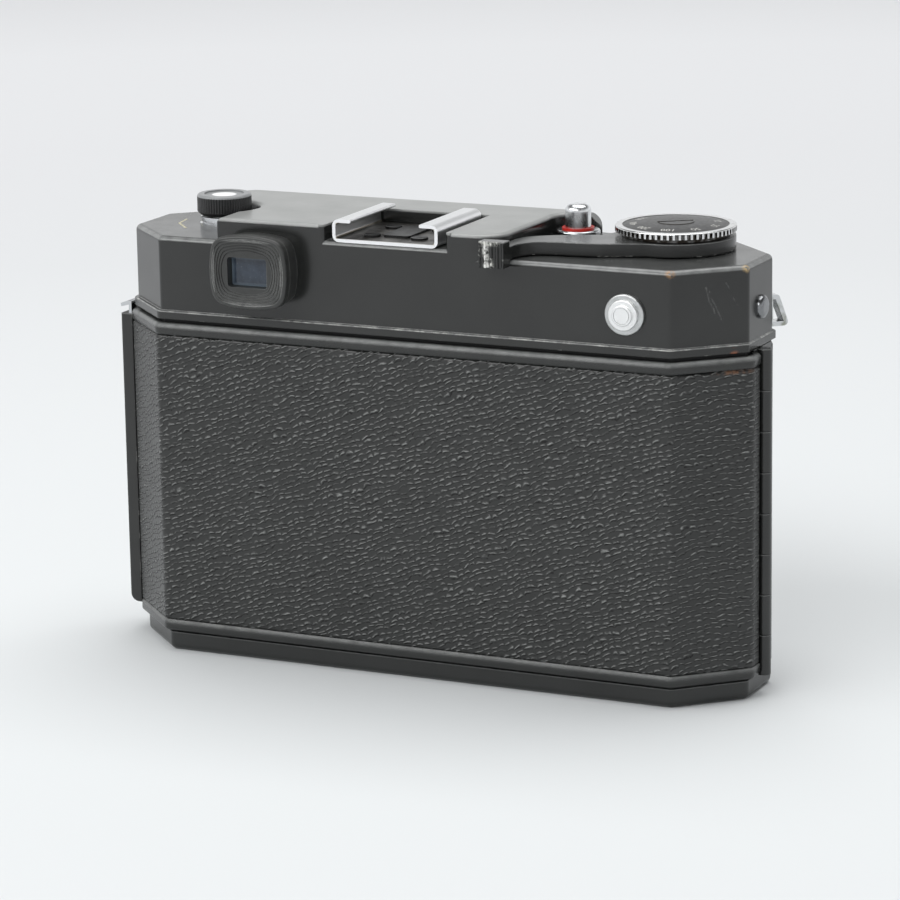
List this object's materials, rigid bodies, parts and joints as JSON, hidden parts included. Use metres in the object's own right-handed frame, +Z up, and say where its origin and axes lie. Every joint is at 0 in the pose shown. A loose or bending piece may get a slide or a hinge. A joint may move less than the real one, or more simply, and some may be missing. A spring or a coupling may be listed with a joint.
{
  "type": "rangefinder camera",
  "caption": "Compact rangefinder film camera with a chamfered box body, side-hinged back door, wind lever, rewind knob and leaf-shutter lens.",
  "frame": {"origin": "mouth of the tripod socket, in the middle of the underside", "axes": "+Z up, the lens looks along -Y, the back door faces +Y, +X along the body towards the rewind end"},
  "size_m": [0.1233, 0.0577, 0.082],
  "materials": {
    "black_enamel": "glossy black enamel over brass, worn at the edges",
    "black_leather": "pebbled black covering",
    "casting_metal": "die-cast alloy, matte black",
    "bright_chrome": "polished chrome plate",
    "satin_chrome": "satin chrome plate",
    "steel": "ground steel",
    "brass": "turned brass",
    "black_plastic": "black moulded plastic",
    "optical_glass": "coated optical glass",
    "frosted_glass": "frosted glass",
    "red_enamel": "red enamel",
    "lens_alloy": "satin anodised alloy"
  },
  "bodies": {
    "body": {"body_casting": "casting_metal", "front_covering": "black_leather", "top_cover": "black_enamel", "bottom_plate": "black_enamel", "tripod_bush": "steel", "base_screws": "steel", "film_gate": "steel", "accessory_shoe": "bright_chrome", "shoe_screws": "steel", "shoe_spring": "steel", "eyepiece_ring": "black_plastic", "eyepiece_glass": "optical_glass", "finder_window": "optical_glass", "frame_window": "frosted_glass", "rangefinder_window": "optical_glass", "finder_block": "casting_metal", "flash_terminal": "satin_chrome", "side_screws": "black_enamel", "right_strap_lug": "bright_chrome", "left_strap_lug": "bright_chrome", "body_hinge_leaf": "black_enamel", "hinge_pin": "steel", "latch_guide": "black_enamel", "release_collar": "satin_chrome", "release_red_ring": "red_enamel", "rewind_collar": "bright_chrome", "lens_flange": "lens_alloy"},
    "back_door": {"door_shell": "black_enamel", "door_leather": "black_leather", "door_hinge_leaf": "black_enamel", "door_catches": "steel", "pressure_springs": "steel"},
    "film_pressure": {"pressure_plate": "black_enamel"},
    "door_latch": {"latch_bar": "black_enamel", "latch_hooks": "steel", "latch_catch": "bright_chrome"},
    "lever": {"wind_lever": "black_enamel", "wind_shaft": "steel", "lever_gears": "brass", "dial_screw": "steel"},
    "film_dial": {"dial_ring": "satin_chrome", "dial_disc": "black_enamel"},
    "idler": {"idler_gear": "brass"},
    "sprocket": {"film_sprocket": "satin_chrome", "sprocket_gear": "brass"},
    "spool": {"take_up_spool": "black_plastic", "spool_gear": "brass"},
    "button": {"release_button": "bright_chrome", "release_rod": "steel"},
    "rewind_carrier": {"rewind_sleeve": "satin_chrome"},
    "rewinder": {"rewind_knob": "black_enamel", "rewind_fork": "steel"},
    "flash_plug": {"flash_cap": "satin_chrome"},
    "focus": {"focus_ring": "lens_alloy"},
    "shutter": {"shutter_housing": "lens_alloy", "lens_bezel": "lens_alloy", "front_glass": "optical_glass", "rear_glass": "optical_glass"},
    "speed_dial": {"speed_ring": "lens_alloy"},
    "aperture_dial": {"aperture_ring": "lens_alloy"}
  },
  "joints": [
    {"name": "back_door_hinge", "type": "hinge", "parent": "body", "child": "back_door", "pos_m": [-0.0597, 0.0012, 0.032], "axis": [0, 0, 1], "range_deg": [0, 105]},
    {"name": "film_pressure_float", "type": "slide", "parent": "back_door", "child": "film_pressure", "axis": [0, 1, 0], "range_m": [0, 0.0004], "stiffness_N_per_m": 1500, "springref_m": -0.0006, "deforming": ["pressure_springs"]},
    {"name": "latch_slide", "type": "slide", "parent": "body", "child": "door_latch", "axis": [0, 0, 1], "range_m": [0, 0.003]},
    {"name": "wind_lever_stroke", "type": "hinge", "parent": "body", "child": "lever", "pos_m": [-0.0414, -0.0044, 0.077], "axis": [0, 0, 1], "range_deg": [0, 150], "stiffness_Nm_per_rad": 0.004, "springref_deg": -28.65},
    {"name": "film_dial_turn", "type": "hinge", "parent": "lever", "child": "film_dial", "pos_m": [-0.0414, -0.0044, 0.079], "axis": [0, 0, 1], "continuous": true},
    {"name": "idler_spin", "type": "hinge", "parent": "body", "child": "idler", "pos_m": [-0.03305, 0.00422, 0.0647], "axis": [0, 0, 1], "range_deg": [-600, 0]},
    {"name": "sprocket_spin", "type": "hinge", "parent": "body", "child": "sprocket", "pos_m": [-0.027, 0.0063, 0.032], "axis": [0, 0, 1], "range_deg": [0, 360]},
    {"name": "spool_spin", "type": "hinge", "parent": "body", "child": "spool", "pos_m": [-0.04444, 0.003, 0.032], "axis": [0, 0, 1], "range_deg": [-350, 0]},
    {"name": "release_press", "type": "slide", "parent": "body", "child": "button", "axis": [0, 0, -1], "range_m": [0, 0.0016], "stiffness_N_per_m": 400, "springref_m": -0.0006},
    {"name": "rewind_lift", "type": "slide", "parent": "body", "child": "rewind_carrier", "axis": [0, 0, 1], "range_m": [0, 0.005]},
    {"name": "rewind_spin", "type": "hinge", "parent": "rewind_carrier", "child": "rewinder", "pos_m": [0.0413, 0.004, 0.079], "axis": [0, 0, 1], "continuous": true},
    {"name": "flash_cap_pull", "type": "slide", "parent": "body", "child": "flash_plug", "axis": [0, 1, 0], "range_m": [0, 0.004]},
    {"name": "focus_turn", "type": "hinge", "parent": "body", "child": "focus", "pos_m": [0, -0.021, 0.032], "axis": [0, -1, 0], "range_deg": [0, 150]},
    {"name": "focus_slide", "type": "slide", "parent": "body", "child": "shutter", "axis": [0, -1, 0], "range_m": [0, 0.0022]},
    {"name": "speed_dial_turn", "type": "hinge", "parent": "shutter", "child": "speed_dial", "pos_m": [0, -0.027, 0.032], "axis": [0, -1, 0], "range_deg": [-70, 70]},
    {"name": "aperture_dial_turn", "type": "hinge", "parent": "shutter", "child": "aperture_dial", "pos_m": [0, -0.032, 0.032], "axis": [0, -1, 0], "range_deg": [-40, 40]}
  ],
  "couplings": [
    {"joint": "idler_spin", "follows": "wind_lever_stroke", "ratio": -4},
    {"joint": "sprocket_spin", "follows": "wind_lever_stroke", "ratio": 2.4},
    {"joint": "spool_spin", "follows": "wind_lever_stroke", "ratio": -2.3333},
    {"joint": "focus_turn", "follows": "focus_slide", "rad_per_m": 1190}
  ]
}
